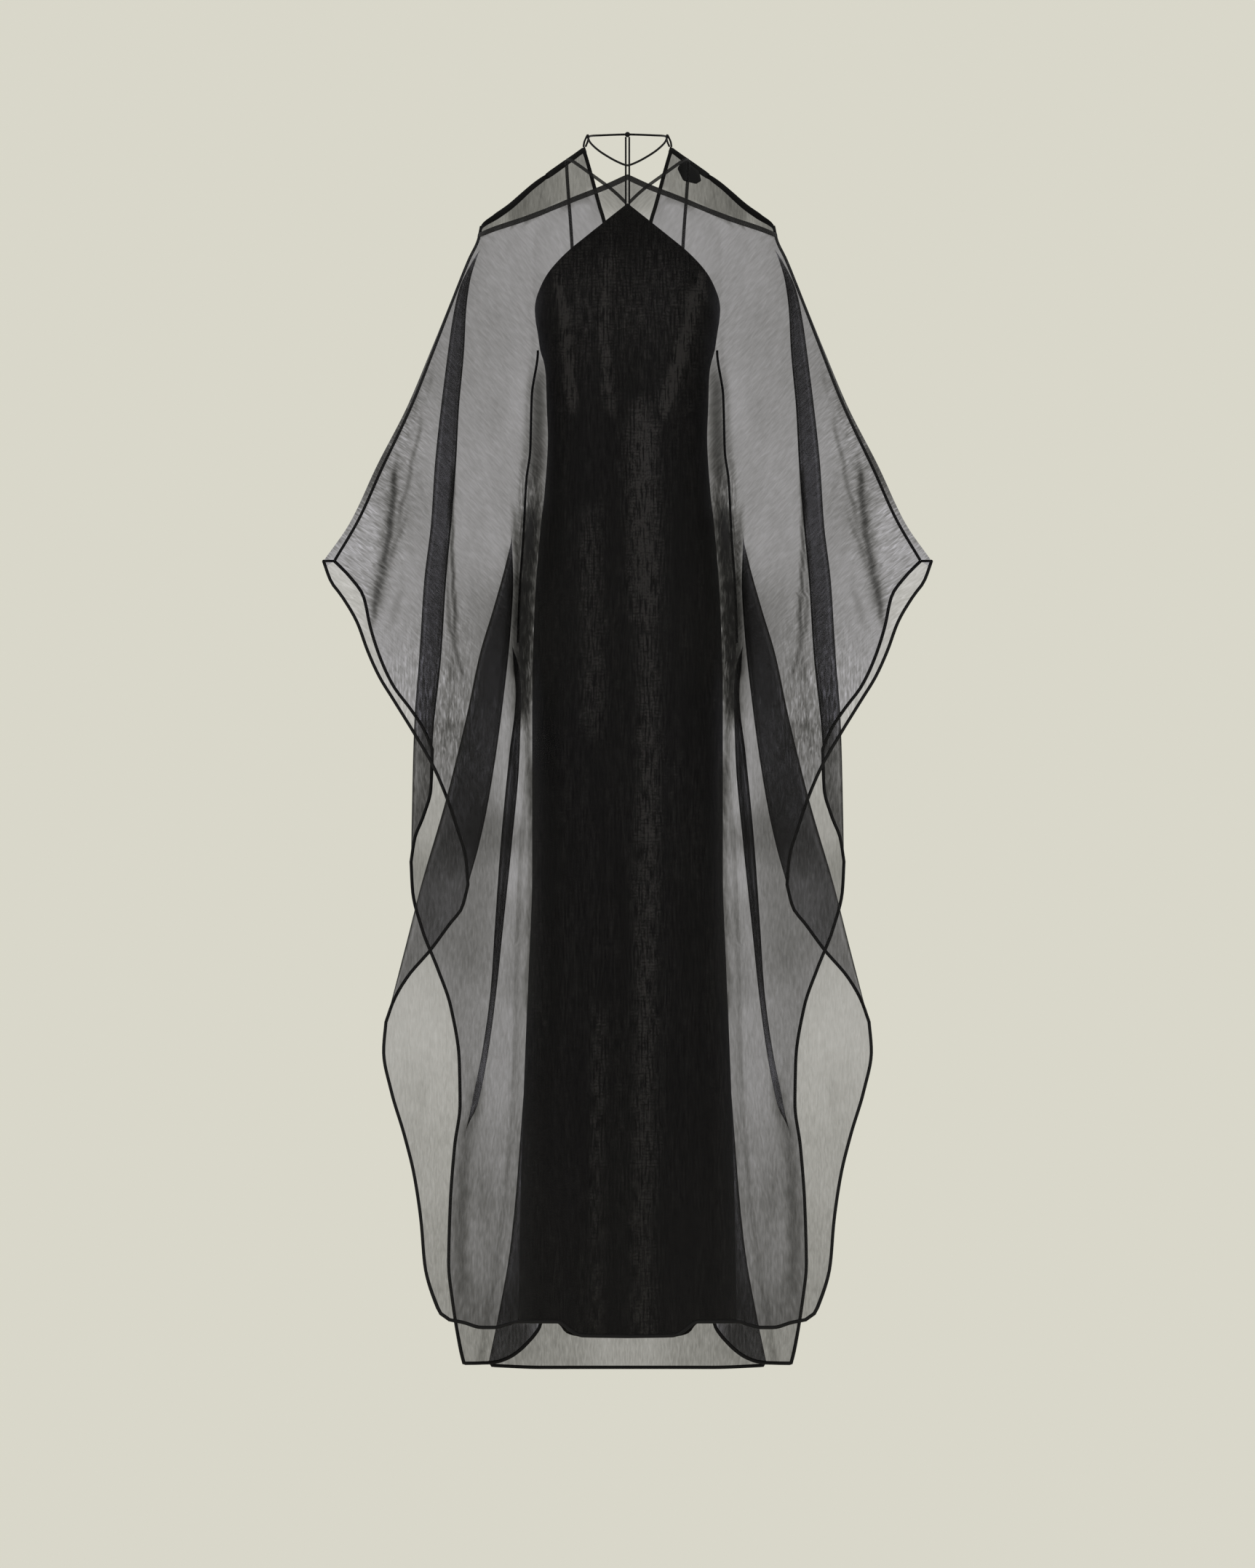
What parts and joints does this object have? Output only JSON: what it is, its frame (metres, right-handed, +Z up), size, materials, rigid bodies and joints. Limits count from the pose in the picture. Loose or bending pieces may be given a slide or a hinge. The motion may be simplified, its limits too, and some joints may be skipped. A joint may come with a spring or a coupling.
{
  "type": "kaftan",
  "caption": "Sheer floor-length batwing kaftan over a halter column slip, hung from a neck cord, with chevron neckline, open upper back and trailing hem.",
  "frame": {"origin": "middle of the neck cord, where the wearer's neck holds the garment", "axes": "+Z up, the wearer faces -Y, +X to the wearer's left"},
  "size_m": [0.795, 0.3112, 1.615],
  "materials": {
    "sheer_cloth": "sheer crinkled black organza",
    "slip_cloth": "opaque black satin-backed crepe, soft sheen",
    "binding": "folded self-cloth binding, matt black",
    "cord": "thin corded black rouleau",
    "label_cloth": "bare woven black label"
  },
  "bodies": {
    "root": {"front_panel": "sheer_cloth", "back_panel_left": "sheer_cloth", "back_panel_right": "sheer_cloth", "front_neck_binding": "binding", "back_neck_binding_left": "binding", "back_neck_binding_right": "binding", "slip_front": "slip_cloth", "slip_back": "slip_cloth", "neck_cord_front": "cord", "neck_cord_back": "cord", "bead": "cord", "side_loop_left": "cord", "side_loop_right": "cord", "front_drop_cord_left": "cord", "front_drop_cord_right": "cord", "back_drop_cord_left": "cord", "back_drop_cord_right": "cord", "slip_strap_left": "cord", "slip_strap_right": "cord", "label": "label_cloth"}
  },
  "joints": []
}
